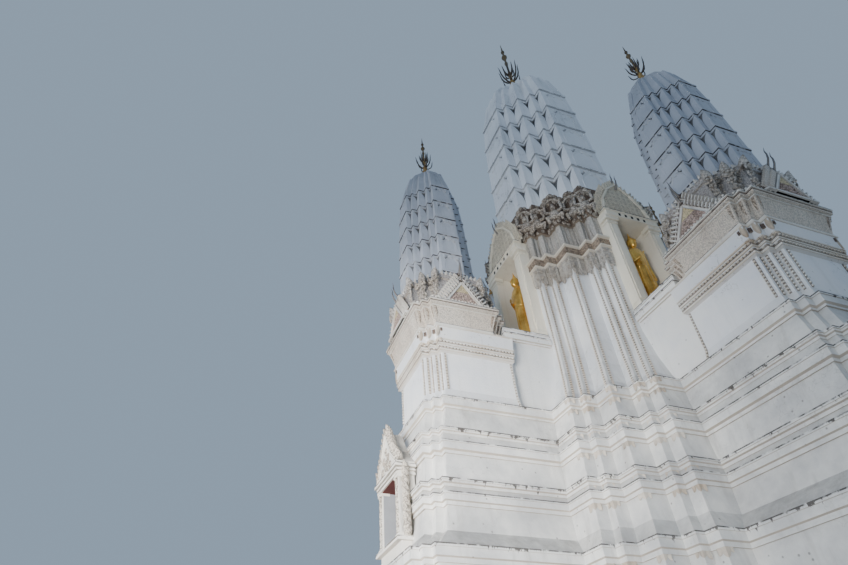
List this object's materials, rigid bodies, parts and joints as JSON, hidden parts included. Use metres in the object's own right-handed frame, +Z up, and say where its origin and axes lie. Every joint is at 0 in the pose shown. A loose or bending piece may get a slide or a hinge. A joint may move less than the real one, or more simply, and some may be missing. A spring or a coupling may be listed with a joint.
{
  "type": "five-spired prang temple, 1:2 scale model",
  "caption": "Half-scale model of a white five-spired prang temple with stepped base, niche porches, gilded images and trident finials.",
  "frame": {"origin": "centre of the base on the ground, under the central spire", "axes": "+Z up; the four arms run along +X (east), +Y (north), -X (west) and -Y (south)"},
  "size_m": [10.18, 10.18, 21],
  "materials": {
    "limewash": "limewashed render with grime on the ledges",
    "cream_render": "cream limewashed render",
    "stucco": "carved stucco with dark staining",
    "gilt": "gilded",
    "finial_metal": "dark weathered metal"
  },
  "bodies": {
    "root": {"base_plinth": "limewash", "base_terrace": "limewash", "base_lower_band": "limewash", "base_upper_band": "limewash", "base_torus": "limewash", "tower_shaft": "limewash", "tower_cornice": "stucco", "tower_frieze": "stucco", "tower_figures": "stucco", "tower_spire": "limewash", "tower_finial": "finial_metal", "satellite_body_east": "limewash", "satellite_body_north": "limewash", "satellite_body_west": "limewash", "satellite_body_south": "limewash", "satellite_frieze_east": "cream_render", "satellite_frieze_north": "cream_render", "satellite_frieze_west": "cream_render", "satellite_frieze_south": "cream_render", "satellite_attic_east": "stucco", "satellite_attic_north": "stucco", "satellite_attic_west": "stucco", "satellite_attic_south": "stucco", "satellite_spire_east": "limewash", "satellite_spire_north": "limewash", "satellite_spire_west": "limewash", "satellite_spire_south": "limewash", "satellite_finial_east": "finial_metal", "satellite_finial_north": "finial_metal", "satellite_finial_west": "finial_metal", "satellite_finial_south": "finial_metal", "neck_east": "limewash", "neck_north": "limewash", "neck_west": "limewash", "neck_south": "limewash", "porch_east": "cream_render", "porch_north": "cream_render", "porch_west": "cream_render", "porch_south": "cream_render", "image_east": "gilt", "image_north": "gilt", "image_west": "gilt", "image_south": "gilt", "aedicule_east": "stucco", "aedicule_north": "stucco", "aedicule_west": "stucco", "aedicule_south": "stucco"}
  },
  "joints": []
}
